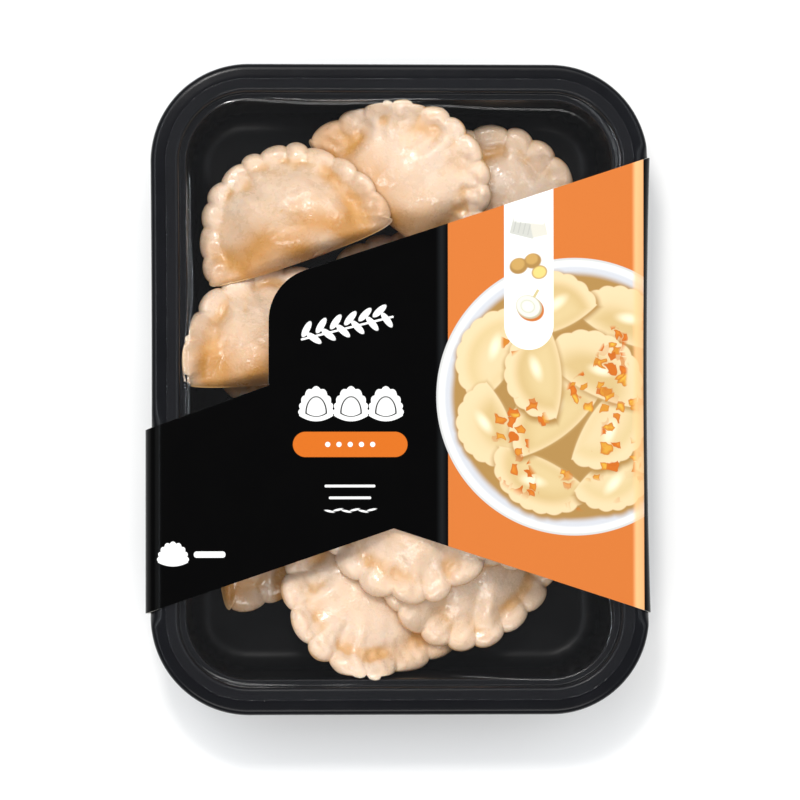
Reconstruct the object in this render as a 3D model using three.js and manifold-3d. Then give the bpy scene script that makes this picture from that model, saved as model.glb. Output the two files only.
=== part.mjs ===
// Retail tray pack of pierogi dumplings: a black thermoformed tray, a clear lid film sealed on its
// flange, a printed carton sleeve round the middle and eleven half-moon dumplings heaped inside.
//
// Millimetres, +Z up, +Y towards the pack's upper short side. The origin is the middle of the box
// round the pack, at the plane on which the sleeve's underside rests.

import * as THREE from 'three';
import { mergeVertices } from 'three/addons/utils/BufferGeometryUtils.js';
import Module from 'manifold-3d';

const wasm = await Module();
wasm.setup();

// ---------------------------------------------------------------- driving dimensions

const GAP = 0.3; // air left between pieces that touch

const SLEEVE = {
  board: 0.5, // thickness of the carton
  halfWidth: 90.2, // at the two upper folds
  baseHalfWidth: 75, // at the two lower folds
  upperFold: 6.3, // outer radius of the upper folds
  lowerFold: 2.5, // outer radius of the lower folds
  rightBow: 1.2, // how far the right fold is drawn in half-way along
};

const TRAY = {
  centreX: 0.5, // the tray sits a little to the right in its sleeve
  length: 232,
  width: 177.8,
  height: 37.5,
  sheet: 0.8, // wall thickness
  cornerRadius: 35,
  leftWaist: 0.4, // how far each long side is drawn in at its middle
  rightWaist: 1.4,
  rimRoll: 4.8, // radius of the rolled outer rim
  flange: 10, // from the outer edge to the inner edge of the flange
  innerEdge: 1.6, // rounding of the flange's inner edge
  ledgeDrop: 4.4, // the stacking ledge lies this far below the flange
  ledge: 2.7, // width of that ledge
  ledgeEdge: 0.6, // rounding of the ledge's two edges
  draft: 5.5, // degrees the wall leans outwards
  floorRadius: 8,
};

const FILM = { thickness: 0.25, inset: 5.2 }; // the film ends where the rim starts to roll down

// The sleeve's cut edges, seen from above: two slanting lines with a step between them along the
// upper side and a shallow chevron along the lower side.
const CUT = {
  leftTop: -14.6, // upper edge at the left fold
  stepX: -46.5, // where the edge steps up
  stepFoot: 1.2, // the edge just left of the step
  stepFillet: 19, // rounding at the top of the step
  rightTop: 82.9, // upper edge at the right fold
  upperSlope: 0.3286, // rise of the long slanting edge
  foot: -79.8, // lower edge at both folds
  chevronX: -2, // the chevron's point
  chevronTop: -49.7,
};

const DOUGH = {
  bow: 4, // how far the folded side bulges
  scallop: 1.9, // how far each crimped lobe stands out
  crimpWidth: 8.5, // radial length of a lobe
  crimpHalf: 2.3, // half the crimp's thickness
  valley: 1.7, // half the thickness where the crimp meets the filling
  foldShoulder: 7.2, // half the thickness of the rounded folded side
  foldWidth: 4.5, // how far that side's rounding reaches in
  bellyUp: 11, // filling above the crimp's middle plane
  bellyDown: 8, // filling below it
  middle: 0.36, // part of the depth, from the fold, at which the belly is fullest
  dome: 2.3, // power of the belly's profile: higher is flatter on top
  corner: 0.75, // power of the fold's outline: lower is squarer at its two ends
  pressedTo: 0.25, // part of its thickness that squeezed dough keeps
  bellyGives: 0.35, // part of a push from below that still shows on top of the belly
  climb: 14, // a rim this far below the tray's ledge is still drawn up on to it
};

const CUT_ROOM = 1.2 * GAP; // how far a dumpling is cut back from the ones it lies on
const REST_ROOM = 2 * GAP; // how far above them it is laid down

// One entry for each dumpling in the order in which they lie: the middle of the folded side, the
// direction that the crimped side faces (degrees from +X), half the folded side's length, the depth
// from fold to crimp, the number of lobes, the lean of the outline, and the tilt (degrees) that
// raises the crimped side and the right-hand end.
const HEAP = [
  { at: [-60.5, -45, 4.5], faces: 2, half: 34, depth: 39, lobes: 10, lean: 0, crimpUp: -2, endUp: 0 },
  { at: [-33.5, 21, 4.5], faces: 272, half: 32, depth: 38, lobes: 10, lean: 0, crimpUp: -2, endUp: 0 },
  { at: [-0.5, 22, 5.4], faces: 40, half: 33, depth: 38, lobes: 10, lean: 0, crimpUp: -5, endUp: 0 },
  { at: [33, 56, 5.2], faces: 62, half: 35, depth: 40, lobes: 10, lean: -0.03, crimpUp: 8, endUp: 0 },
  { at: [-3, -66.5, 12], faces: 230, half: 35, depth: 44, lobes: 10, lean: 0.03, crimpUp: 26, endUp: 3 },
  { at: [26, -52, 11.5], faces: 280, half: 35.5, depth: 40, lobes: 11, lean: 0.12, crimpUp: 7, endUp: 11 },
  { at: [38.5, -26, 13.2], faces: 283, half: 34, depth: 39, lobes: 10, lean: 0, crimpUp: 15, endUp: 6 },
  { at: [-5, 69, 15], faces: 50, half: 34.5, depth: 42, lobes: 10, lean: 0.09, crimpUp: 23, endUp: 4 },
  { at: [-42, 6, 22.4], faces: 96, half: 36, depth: 40, lobes: 9, lean: 0.01, crimpUp: -13, endUp: -6 },
  { at: [4.5, -35, 26.4], faces: 267, half: 35.5, depth: 40, lobes: 10, lean: -0.02, crimpUp: 2, endUp: -6 },
  { at: [-34.5, 50, 20.4], faces: 108, half: 35, depth: 40, lobes: 10, lean: -0.06, crimpUp: -12, endUp: 7 },
];

const COLOURS = {
  tray: 0x1c1c1f,
  film: 0xf4f6f8,
  sleeve: 0x0a0a0b,
  dough: 0xf0d2b2,
};

// ---------------------------------------------------------------- heights of the stack

const trayBase = SLEEVE.board + GAP;
const flangeTop = trayBase + TRAY.height;
const floorTop = trayBase + TRAY.sheet;
const ledgeTop = flangeTop - TRAY.ledgeDrop;
const filmBase = flangeTop + GAP;
const sleeveTop = filmBase + FILM.thickness + GAP + SLEEVE.board;

// ---------------------------------------------------------------- general helpers

const radians = THREE.MathUtils.degToRad;
const mix = THREE.MathUtils.lerp;

// Closed surface through rings of equally many points. The first and the last ring are closed by a
// fan round their middle, or the last ring runs on to the first when the rings go round.
function loft(rings, goesRound = false) {
  const count = rings[0].length;
  const points = rings.flat();
  const faces = [];
  const bands = goesRound ? rings.length : rings.length - 1;
  for (let i = 0; i < bands; i++) {
    const here = i * count;
    const next = ((i + 1) % rings.length) * count;
    for (let j = 0; j < count; j++) {
      const k = (j + 1) % count;
      faces.push([here + j, next + j, next + k], [here + j, next + k, here + k]);
    }
  }
  if (!goesRound) {
    fan(rings[0], 0, true);
    fan(rings.at(-1), (rings.length - 1) * count, false);
  }
  return facingOut(points, faces);

  function fan(ring, first, reversed) {
    const middle = ring.reduce((sum, p) => sum.add(p), new THREE.Vector3()).divideScalar(count);
    const apex = points.push(middle) - 1;
    for (let j = 0; j < count; j++) {
      const k = (j + 1) % count;
      faces.push(reversed ? [apex, first + j, first + k] : [apex, first + k, first + j]);
    }
  }
}

// Geometry from points and faces, turned so that its faces point outwards.
function facingOut(points, faces) {
  let volume = 0;
  for (const [a, b, c] of faces) volume += points[a].dot(points[b].clone().cross(points[c]));
  const geometry = new THREE.BufferGeometry().setFromPoints(points);
  geometry.setIndex(faces.flatMap(([a, b, c]) => (volume > 0 ? [a, b, c] : [a, c, b])));
  return geometry;
}

function toSolid(geometry) {
  const bare = new THREE.BufferGeometry();
  bare.setAttribute('position', geometry.getAttribute('position'));
  bare.setIndex(geometry.getIndex());
  const merged = mergeVertices(bare, 1e-4);
  return new wasm.Manifold(new wasm.Mesh({
    numProp: 3,
    vertProperties: new Float32Array(merged.getAttribute('position').array),
    triVerts: new Uint32Array(merged.getIndex().array),
  }));
}

function toGeometry(solid) {
  const { vertProperties, triVerts } = solid.getMesh();
  const geometry = new THREE.BufferGeometry();
  geometry.setAttribute('position', new THREE.BufferAttribute(new Float32Array(vertProperties), 3));
  geometry.setIndex(new THREE.BufferAttribute(new Uint32Array(triVerts), 1));
  return geometry;
}

// The same surface moved out along its normals, to cut a neighbour with room to spare.
function swollen(geometry, distance) {
  const copy = mergeVertices(geometry.clone(), 1e-4);
  copy.computeVertexNormals();
  const position = copy.getAttribute('position');
  const normal = copy.getAttribute('normal');
  for (let i = 0; i < position.count; i++) {
    position.setXYZ(
      i,
      position.getX(i) + distance * normal.getX(i),
      position.getY(i) + distance * normal.getY(i),
      position.getZ(i) + distance * normal.getZ(i),
    );
  }
  return copy;
}

function largestPart(solid) {
  return solid.decompose().reduce((best, part) => (part.volume() > best.volume() ? part : best));
}

function named(name, geometry, colour, finish) {
  const mesh = new THREE.Mesh(geometry, new THREE.MeshStandardMaterial({ color: colour, ...finish }));
  mesh.name = name;
  return mesh;
}

// ---------------------------------------------------------------- tray and film

// Outline of the tray at a distance inside its outer edge: a rounded rectangle whose long sides are
// drawn in at their middle.
function trayOutline(inset, z, perCorner = 5, perSide = 3) {
  const halfWidth = TRAY.width / 2 - inset;
  const halfLength = TRAY.length / 2 - inset;
  const radius = Math.max(TRAY.cornerRadius - inset, TRAY.floorRadius);
  const straight = halfLength - radius;
  const ring = [];
  for (let corner = 0; corner < 4; corner++) {
    const sideX = corner === 0 || corner === 3 ? 1 : -1;
    const sideY = corner < 2 ? 1 : -1;
    for (let i = 0; i <= perCorner; i++) {
      const angle = (Math.PI / 2) * (corner + i / perCorner);
      ring.push(new THREE.Vector3(
        sideX * (halfWidth - radius) + radius * Math.cos(angle),
        sideY * straight + radius * Math.sin(angle),
        z,
      ));
    }
    const start = ring.at(-1);
    const along = new THREE.Vector3(corner % 2 ? 0 : -2 * sideX * (halfWidth - radius), 0, 0);
    if (corner % 2) along.y = -2 * sideY * straight;
    for (let i = 1; i <= perSide; i++) {
      ring.push(start.clone().addScaledVector(along, i / (perSide + 1)));
    }
  }
  for (const p of ring) {
    const pull = Math.max(0, 1 - (p.y / straight) ** 2);
    p.x += TRAY.centreX + pull * (p.x < 0 ? TRAY.leftWaist : -TRAY.rightWaist);
  }
  return ring;
}

// How far inside the tray's outer edge a place lies.
function insetAt(x, y) {
  const qx = Math.abs(x - TRAY.centreX) - (TRAY.width / 2 - TRAY.cornerRadius);
  const qy = Math.abs(y) - (TRAY.length / 2 - TRAY.cornerRadius);
  const outside = Math.hypot(Math.max(qx, 0), Math.max(qy, 0)) + Math.min(Math.max(qx, qy), 0);
  return TRAY.cornerRadius - outside;
}

// The sheet's upper face from the lip inwards, as [inset, z] pairs.
function trayProfile() {
  const { rimRoll, flange, innerEdge, ledge, ledgeEdge, floorRadius, draft } = TRAY;
  const rounding = (inset, z, radius, degrees) => degrees.map((angle) => [
    inset + radius * (1 - Math.cos(radians(angle))),
    z - radius * (1 - Math.sin(radians(angle))),
  ]);
  const wallTop = flange + ledge;
  const wallFoot = wallTop + (ledgeTop - floorTop - floorRadius) * Math.tan(radians(draft));
  const floor = rounding(wallFoot, 0, floorRadius, [0, 40, 90]).map(([inset, z]) => [inset, floorTop - z]);
  return [
    ...rounding(0, flangeTop, rimRoll, [0, 45, 90]),
    [flange - innerEdge, flangeTop],
    [flange, flangeTop - innerEdge],
    [flange + ledgeEdge, ledgeTop + ledgeEdge],
    [wallTop - ledgeEdge, ledgeTop],
    [wallTop, ledgeTop - ledgeEdge],
    ...floor,
  ];
}

// A profile moved sideways by a distance, towards the outside and the underside of the sheet.
function offsetProfile(profile, distance) {
  return profile.map(([inset, z], i) => {
    const before = profile[Math.max(i - 1, 0)];
    const after = profile[Math.min(i + 1, profile.length - 1)];
    const along = new THREE.Vector2(after[0] - before[0], after[1] - before[1]).normalize();
    return [inset + distance * along.y, z - distance * along.x];
  });
}

function makeTray() {
  const upper = trayProfile();
  const under = offsetProfile(upper, TRAY.sheet);
  const inwards = upper.map(([inset, z]) => trayOutline(inset, z));
  const outwards = under.map(([inset, z]) => trayOutline(inset, z));
  return loft([...inwards.reverse(), ...outwards]);
}

// The room inside the tray below the film, a gap smaller all round.
function makeCavity() {
  const lid = trayOutline(TRAY.flange + GAP, flangeTop);
  const rings = offsetProfile(trayProfile(), -GAP)
    .slice(4)
    .map(([inset, z]) => trayOutline(inset, z));
  return toSolid(loft([lid, ...rings]));
}

function makeFilm() {
  return loft([
    trayOutline(FILM.inset, filmBase + FILM.thickness),
    trayOutline(FILM.inset, filmBase),
  ]);
}

// ---------------------------------------------------------------- carton sleeve

// The sleeve's section, anticlockwise from the middle of its underside: points [x, z, nx, nz] on the
// outer face with the direction in which the board's thickness is taken off.
function sleeveSection() {
  const { halfWidth, baseHalfWidth, upperFold, lowerFold } = SLEEVE;
  const lean = Math.atan2(halfWidth - baseHalfWidth, sleeveTop - upperFold - lowerFold);
  const section = [];
  const arc = (x, z, radius, from, to, steps) => {
    for (let i = 0; i <= steps; i++) {
      const angle = mix(from, to, i / steps);
      const [nx, nz] = [Math.cos(angle), Math.sin(angle)];
      section.push([x + radius * nx, z + radius * nz, nx, nz]);
    }
  };
  arc(baseHalfWidth - lowerFold, lowerFold, lowerFold, -Math.PI / 2, -lean, 2);
  arc(halfWidth - upperFold, sleeveTop - upperFold, upperFold, -lean, Math.PI / 2, 5);
  for (const x of topStations()) section.push([x, sleeveTop, 0, 1]);
  arc(upperFold - halfWidth, sleeveTop - upperFold, upperFold, Math.PI / 2, Math.PI + lean, 5);
  arc(lowerFold - baseHalfWidth, lowerFold, lowerFold, Math.PI + lean, 1.5 * Math.PI, 2);
  return section;
}

// Places across the top panel, right to left, where a cut edge bends.
function topStations() {
  const { stepX, stepFillet, chevronX } = CUT;
  const fillet = [0.95, 0.7, 0.42, 0.2, 0.05, 0].map((part) => stepX + part * stepFillet);
  return [chevronX, ...fillet, stepX - 0.2];
}

const slantAt = (x) => CUT.rightTop + CUT.upperSlope * (x - SLEEVE.halfWidth);

// Upper cut edge of the top panel at a place across it.
function upperCut(x) {
  const { stepX, stepFoot, stepFillet, leftTop, upperSlope } = CUT;
  if (x < stepX) return mix(leftTop, stepFoot, (x + SLEEVE.halfWidth) / (stepX + SLEEVE.halfWidth));
  const slantAngle = Math.atan(upperSlope);
  const middleX = stepX + stepFillet;
  const middleY = slantAt(middleX) - stepFillet / Math.cos(slantAngle);
  if (x > middleX - stepFillet * Math.sin(slantAngle)) return slantAt(x);
  return middleY + Math.sqrt(stepFillet ** 2 - (x - middleX) ** 2);
}

// Lower cut edge of the top panel.
function lowerCut(x) {
  const side = x < CUT.chevronX ? -SLEEVE.halfWidth : SLEEVE.halfWidth;
  return mix(CUT.chevronTop, CUT.foot, (x - CUT.chevronX) / (side - CUT.chevronX));
}

function makeSleeve(rows = 4) {
  const rings = sleeveSection().map(([x, z, nx, nz]) => {
    const onTop = z > sleeveTop - SLEEVE.upperFold;
    const plainTop = mix(CUT.leftTop, CUT.rightTop, (x + SLEEVE.halfWidth) / (2 * SLEEVE.halfWidth));
    const high = onTop ? upperCut(x) : plainTop;
    const low = onTop ? lowerCut(x) : CUT.foot;
    const line = (depth) => Array.from({ length: rows }, (_, i) => {
      const y = mix(low, high, i / (rows - 1));
      return new THREE.Vector3(x - depth * nx - bowAt(x, y), y, z - depth * nz);
    });
    return [...line(0), ...line(SLEEVE.board).reverse()];
  });
  return loft(rings, true);
}

// The right fold is drawn in towards its middle; the pull fades out across the panels.
function bowAt(x, y) {
  const along = (2 * (y - CUT.foot)) / (CUT.rightTop - CUT.foot) - 1;
  const across = THREE.MathUtils.smoothstep(x, SLEEVE.baseHalfWidth, SLEEVE.halfWidth);
  return SLEEVE.rightBow * across * Math.max(0, 1 - along ** 2);
}

// ---------------------------------------------------------------- dumplings

// Outline of a dumpling lying flat, fold along x, crimped lobes towards +y: for each spoke its
// direction from the middle, its length, and how far it belongs to the crimped side.
function doughSpokes({ half, depth, lobes, lean }) {
  const middleY = DOUGH.middle * depth;
  const spokes = [];
  const add = (angle, lobe) => {
    const front = Math.sin(angle) >= -1e-9;
    const cos = Math.cos(angle);
    const sin = Math.sin(angle);
    const x = front ? half * cos : half * Math.sign(cos) * Math.abs(cos) ** DOUGH.corner;
    const y = front ? depth * sin : -DOUGH.bow * Math.abs(sin) ** DOUGH.corner;
    const ray = new THREE.Vector2(x + lean * Math.max(y, 0), y - middleY);
    const reach = ray.length() + DOUGH.scallop * lobe;
    spokes.push({ ray: ray.normalize(), reach, crimped: front ? 1 : 0 });
  };
  for (let i = 0; i < 3 * lobes; i++) add((Math.PI * i) / (3 * lobes), i % 3 ? 0.9 : 0);
  for (let i = 0; i < 8; i++) add(Math.PI * (1 + i / 8), 0);
  return { spokes, middleY };
}

// Rings of a dumpling from the top of its filling over the rim to the underside. Each ring is given
// by how far in it lies: the rim, the foot of the filling, then parts of the way to the middle.
function doughRings(dumpling) {
  const { spokes, middleY } = doughSpokes(dumpling);
  const dome = (part) => Math.sqrt(1 - (1 - part) ** DOUGH.dome);
  const ring = (part, up) => spokes.map(({ ray, reach, crimped }) => {
    const rimWidth = mix(DOUGH.foldWidth, DOUGH.crimpWidth, crimped);
    const foot = mix(DOUGH.foldShoulder, DOUGH.valley, crimped);
    const belly = up ? DOUGH.bellyUp : DOUGH.bellyDown;
    const distance = part < 0 ? reach : (reach - rimWidth) * (1 - part);
    const height = part < 0 ? DOUGH.crimpHalf : mix(foot * (up ? 1 : 0.8), belly, dome(part));
    return new THREE.Vector3(ray.x * distance, middleY + ray.y * distance, up ? height : -height);
  });
  const upper = [0.75, 0.35, 0, -1].map((part) => ring(part, true));
  const under = [-1, 0.4].map((part) => ring(part, false));
  return { upper, under };
}

const lying = [];
const down = new THREE.Vector3(0, 0, -1);

// Height at which dough can rest: what already lies there, or the tray's ledge for a rim that is
// nearly as high as the ledge.
function restAt(p) {
  const ray = new THREE.Raycaster(new THREE.Vector3(p.x, p.y, 2 * sleeveTop), down);
  const heap = ray.intersectObjects(lying)[0]?.point.z ?? floorTop;
  const onLedge = insetAt(p.x, p.y) < TRAY.flange + TRAY.ledge && p.z > ledgeTop - DOUGH.climb;
  return REST_ROOM + (onLedge ? Math.max(heap, ledgeTop) : heap);
}

// A dumpling is turned, tilted and put down. Its soft dough gives way to what is below, the thin rim
// more than the filling, and to the film above.
function layDown(dumpling) {
  const { upper, under } = doughRings(dumpling);
  const [x, y, z] = dumpling.at;
  const turn = new THREE.Matrix4()
    .makeRotationZ(radians(dumpling.faces - 90))
    .multiply(new THREE.Matrix4().makeRotationX(radians(dumpling.crimpUp)))
    .multiply(new THREE.Matrix4().makeRotationY(radians(-dumpling.endUp)))
    .setPosition(x, y, z);
  for (const p of [...upper, ...under].flat()) p.applyMatrix4(turn);

  const give = under.map((ring) => ring.map((p) => Math.max(0, restAt(p) - p.z)));
  under.forEach((ring, i) => ring.forEach((p, j) => (p.z += give[i][j])));
  upper.forEach((ring, i) => ring.forEach((p, j) => {
    const share = i >= 2 ? 1 : DOUGH.bellyGives;
    const below = give[i >= 2 ? 0 : 1][j];
    p.z = Math.min(p.z + share * below, flangeTop);
  }));
  keepThickness(upper, under);
  return loft([...upper, ...under]);
}

// Where the dough is squeezed between film and heap its underside still lies below its top.
function keepThickness(upper, under) {
  const least = 2 * DOUGH.crimpHalf * DOUGH.pressedTo;
  under.forEach((ring, i) => ring.forEach((p, j) => {
    const above = upper[i ? 1 : upper.length - 1][j];
    p.z = Math.min(p.z, above.z - least);
  }));
}

function makeDumplings() {
  const cavity = makeCavity();
  return HEAP.map((dumpling, index) => {
    let solid = toSolid(layDown(dumpling)).intersect(cavity);
    for (const { geometry } of lying) {
      solid = solid.subtract(toSolid(swollen(geometry, CUT_ROOM))).subtract(toSolid(geometry));
    }
    const name = `dumpling_${String(index + 1).padStart(2, '0')}`;
    const mesh = named(name, toGeometry(largestPart(solid)), COLOURS.dough, { roughness: 0.45 });
    mesh.updateMatrixWorld();
    lying.push(mesh);
    return mesh;
  });
}

// ---------------------------------------------------------------- the pack

const pack = new THREE.Group();
pack.add(named('tray', makeTray(), COLOURS.tray, { roughness: 0.3 }));
pack.add(...makeDumplings());
pack.add(named('film', makeFilm(), COLOURS.film, { roughness: 0.1 }));
pack.add(named('sleeve', makeSleeve(), COLOURS.sleeve, { roughness: 0.4 }));

export default pack;
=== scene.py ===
# %% [markdown]
# # A tray pack of pierogi
#
# The pack is a black thermoformed tray with a clear film sealed on its flange, a printed carton
# sleeve round its middle, and a heap of half-moon dumplings inside. The CAD model holds the true
# sizes and places. Here every piece gets its fine surface: fluted tray corners, a rippled film,
# rounded carton folds, and dough with crimps, creases and dents.
#
# Sizes of the pack are written in millimetres, as on a drawing, and become metres in the mesh
# helper. The studio round it is in metres.

import math

import bpy
import numpy as np
from mathutils import Matrix, Vector


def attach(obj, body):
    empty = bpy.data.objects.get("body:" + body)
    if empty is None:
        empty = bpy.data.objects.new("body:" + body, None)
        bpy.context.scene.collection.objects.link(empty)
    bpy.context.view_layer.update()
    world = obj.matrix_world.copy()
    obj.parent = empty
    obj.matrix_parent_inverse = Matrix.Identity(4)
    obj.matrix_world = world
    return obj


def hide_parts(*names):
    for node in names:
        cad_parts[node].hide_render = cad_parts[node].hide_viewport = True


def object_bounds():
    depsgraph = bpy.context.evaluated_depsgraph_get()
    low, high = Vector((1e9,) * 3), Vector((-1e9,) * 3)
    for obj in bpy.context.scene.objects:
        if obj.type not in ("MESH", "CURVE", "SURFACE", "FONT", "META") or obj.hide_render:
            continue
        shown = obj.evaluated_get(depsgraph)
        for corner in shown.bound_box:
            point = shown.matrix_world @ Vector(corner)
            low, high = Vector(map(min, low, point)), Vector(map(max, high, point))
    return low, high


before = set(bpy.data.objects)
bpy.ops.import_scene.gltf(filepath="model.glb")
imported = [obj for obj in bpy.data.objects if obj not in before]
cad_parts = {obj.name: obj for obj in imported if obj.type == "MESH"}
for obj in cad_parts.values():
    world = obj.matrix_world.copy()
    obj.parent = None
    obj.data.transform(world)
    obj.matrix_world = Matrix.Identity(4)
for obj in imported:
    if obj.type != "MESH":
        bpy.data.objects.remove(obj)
cad_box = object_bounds()

MM = 0.001  # metres in a millimetre
print("nodes:", ", ".join(sorted(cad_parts)))
print("CAD box in mm:", [[round(v / MM, 1) for v in corner] for corner in cad_box])

# %% [markdown]
# ## Sizes of the pack
#
# The same driving dimensions as in the CAD source. The tray's rolled rim stands a little inside the
# carton's folds, the film lies on the flange, and the sleeve's top panel lies on the film.

# %% Sizes
GAP = 0.3  # air left between pieces that touch
BOARD = 0.5
FILM_THICKNESS = 0.25
FILM_INSET = 5.2

TRAY_CENTRE_X = 0.5
TRAY_LENGTH = 232
TRAY_WIDTH = 177.8
TRAY_HEIGHT = 37.5
TRAY_SHEET = 0.8
CORNER_RADIUS = 35
LEFT_WAIST = 0.4  # how far the tray's long sides are drawn in at their middle
RIGHT_WAIST = 1.4
RIM_ROLL = 4.8
LIP_ROUND = 1.8  # the rim's tighter rounding where no carton folds over it
LIP_SLOPE = 4.5  # how far in the rim slopes there
LIP_FALL = 0.35
FLANGE = 10
INNER_EDGE = 1.6
LEDGE_DROP = 4.4
LEDGE = 2.7
LEDGE_EDGE = 0.6
DRAFT = math.radians(5.5)
FLOOR_RADIUS = 8

FLANGE_TOP = BOARD + GAP + TRAY_HEIGHT
FLOOR_TOP = BOARD + GAP + TRAY_SHEET
LEDGE_TOP = FLANGE_TOP - LEDGE_DROP
FILM_BASE = FLANGE_TOP + GAP
SLEEVE_TOP = FILM_BASE + FILM_THICKNESS + GAP + BOARD
WALL_TOP = FLANGE + LEDGE
WALL_FOOT = WALL_TOP + (LEDGE_TOP - FLOOR_TOP - FLOOR_RADIUS) * math.tan(DRAFT)

CUT_LEFT_TOP = -14.6  # the sleeve's upper end at its left fold, at its right fold, and its lower end
CUT_RIGHT_TOP = 82.9
CUT_FOOT = -79.8

print(f"flange at {FLANGE_TOP:.1f} mm, ledge at {LEDGE_TOP:.1f} mm, sleeve's top at {SLEEVE_TOP:.2f} mm")

# %% [markdown]
# ## Mesh helpers
#
# Nearly every piece here is a skin through rings of points, which is what a loft or a lathe makes.
# Building the rings as arrays keeps the shapes in a few formulas. `skin` joins rings of equal
# length with quads and closes the two ends with a fan, and `piece` turns the result into a smooth
# shaded object that rides on the pack's one body and stands for its CAD node.


# %% Skin and piece
def skin(rings, goes_round=False):
    """Points and faces of a closed skin through rings, given as an array (rings, points, 3)."""
    rings = np.asarray(rings, float)
    bands, count = rings.shape[0], rings.shape[1]
    points = rings.reshape(-1, 3)
    here = np.arange(count)
    following = np.roll(here, -1)
    faces = []
    for i in range(bands if goes_round else bands - 1):
        a, b = i * count, ((i + 1) % bands) * count
        quads = np.stack([a + here, b + here, b + following, a + following], axis=1)
        faces.extend(quads.tolist())
    if not goes_round:
        middles = np.array([rings[0].mean(axis=0), rings[-1].mean(axis=0)])
        first, last = len(points), len(points) + 1
        points = np.concatenate([points, middles])
        end = (bands - 1) * count
        faces.extend([first, int(j), int(k)] for j, k in zip(here, following))
        faces.extend([last, int(end + k), int(end + j)] for j, k in zip(here, following))
    return points, faces


def piece(name, points, faces, materials, node, slot, material_of_face=None):
    """A smooth shaded mesh object in place of a CAD node."""
    mesh = bpy.data.meshes.new(name)
    mesh.from_pydata((np.asarray(points) * MM).tolist(), [], faces)
    for material in materials:
        mesh.materials.append(material)
    mesh.shade_smooth()
    if material_of_face is not None:
        mesh.polygons.foreach_set("material_index", material_of_face)
    made = bpy.data.objects.new(name, mesh)
    bpy.context.scene.collection.objects.link(made)
    turn_outwards(mesh)
    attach(made, "root")
    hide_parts(node)
    print(f"{name}: {len(mesh.vertices)} points, {len(mesh.polygons)} faces")
    return made


def turn_outwards(mesh):
    """Flips the faces of a closed skin if they enclose a negative volume."""
    mesh.calc_loop_triangles()
    corners = np.empty(len(mesh.loop_triangles) * 3, int)
    mesh.loop_triangles.foreach_get("vertices", corners)
    places = np.empty(len(mesh.vertices) * 3)
    mesh.vertices.foreach_get("co", places)
    a, b, c = places.reshape(-1, 3)[corners.reshape(-1, 3)].transpose(1, 0, 2)
    if np.einsum("ij,ij->i", a, np.cross(b, c)).sum() < 0:
        mesh.flip_normals()


def smoothstep(low, high, value):
    t = np.clip((value - low) / (high - low), 0, 1)
    return t * t * (3 - 2 * t)


# %% [markdown]
# ## Camera
#
# The pack is seen from nearly straight above, a little from its left and lower side, through a long
# lens, so that the sides of the tray hardly show. The lens follows from the stretch of the table
# that fills the square picture.

# %% Camera
PICTURE_WIDTH = 284.7  # mm of the sleeve's plane across the picture
AIM = Vector((0.25, -4.0, SLEEVE_TOP)) * MM
DISTANCE = 2.0  # metres
LEAN_LEFT = math.radians(3)
LEAN_LOW = math.radians(1.5)

camera_data = bpy.data.cameras.new("camera")
camera_data.sensor_width = 36
camera_data.lens = camera_data.sensor_width * DISTANCE / (PICTURE_WIDTH * MM)
camera = bpy.data.objects.new("camera", camera_data)
bpy.context.scene.collection.objects.link(camera)
away = Vector((-math.tan(LEAN_LEFT), -math.tan(LEAN_LOW), 1)).normalized()
camera.location = AIM + DISTANCE * away
right = Vector((1, 0, 0))
right = (right - right.dot(away) * away).normalized()
camera.rotation_euler = Matrix((right, away.cross(right), away)).transposed().to_euler()
bpy.context.scene.camera = camera
print(f"lens {camera_data.lens:.0f} mm at {DISTANCE} m")

# %% [markdown]
# ## Studio
#
# A pale table, and soft boxes round it. Nothing hangs straight above the pack, because flat film and
# coated board would mirror it into the camera: the black stays black. The box beyond the upper short
# side is the main light, so shadows fall towards the lower side. The box beyond the lower side and
# the pale surroundings reach in between the dumplings, where the main light doesn't. Two narrow
# strips draw thin lines on the tray's rim and on the ripples of the film.


# %% Studio
def soft_box(name, place, size, watts, colour=(1, 1, 1)):
    """A rectangular lamp that faces the pack."""
    data = bpy.data.lights.new(name, "AREA")
    data.shape = "RECTANGLE"
    data.size, data.size_y = size
    data.energy = watts
    data.color = colour
    lamp = bpy.data.objects.new(name, data)
    bpy.context.scene.collection.objects.link(lamp)
    lamp.location = place
    lamp.rotation_euler = Vector(place).to_track_quat("Z", "Y").to_euler()


soft_box("main_box", (-0.2, 1.1, 1.55), (1.5, 1.0), 16, (1, 0.985, 0.96))
soft_box("sparkle_box", (-0.25, 0.72, 1.5), (0.22, 0.2), 8, (1, 0.98, 0.95))
soft_box("left_box", (-1.0, 0.45, 1.3), (1.6, 0.7), 6.5, (0.95, 0.98, 1))
soft_box("right_box", (1.0, 0.45, 1.3), (1.6, 0.7), 6.5, (0.95, 0.98, 1))
soft_box("lower_box", (0, -0.95, 1.5), (1.3, 0.6), 13.5, (1, 0.98, 0.95))
soft_box("left_strip", (-0.75, 0.05, 1.45), (1.2, 0.05), 4.5, (0.85, 0.92, 1))
soft_box("right_strip", (0.75, 0.05, 1.45), (1.2, 0.05), 2, (0.85, 0.92, 1))

world = bpy.data.worlds.new("studio")
world.use_nodes = True
world.node_tree.nodes["Background"].inputs["Color"].default_value = (0.32, 0.325, 0.335, 1)
bpy.context.scene.world = world
bpy.context.scene.view_settings.view_transform = "Standard"
bpy.context.scene.view_settings.look = "None"

HALF_TABLE = 3.0
corners = [(a * HALF_TABLE, b * HALF_TABLE, 0) for a, b in ((-1, -1), (1, -1), (1, 1), (-1, 1))]
table = bpy.data.meshes.new("table")
table.from_pydata(corners, [], [(0, 1, 2, 3)])
floor = bpy.data.objects.new("table", table)
floor.location.z = cad_box[0][2] - 0.0002
bpy.context.scene.collection.objects.link(floor)

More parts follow.
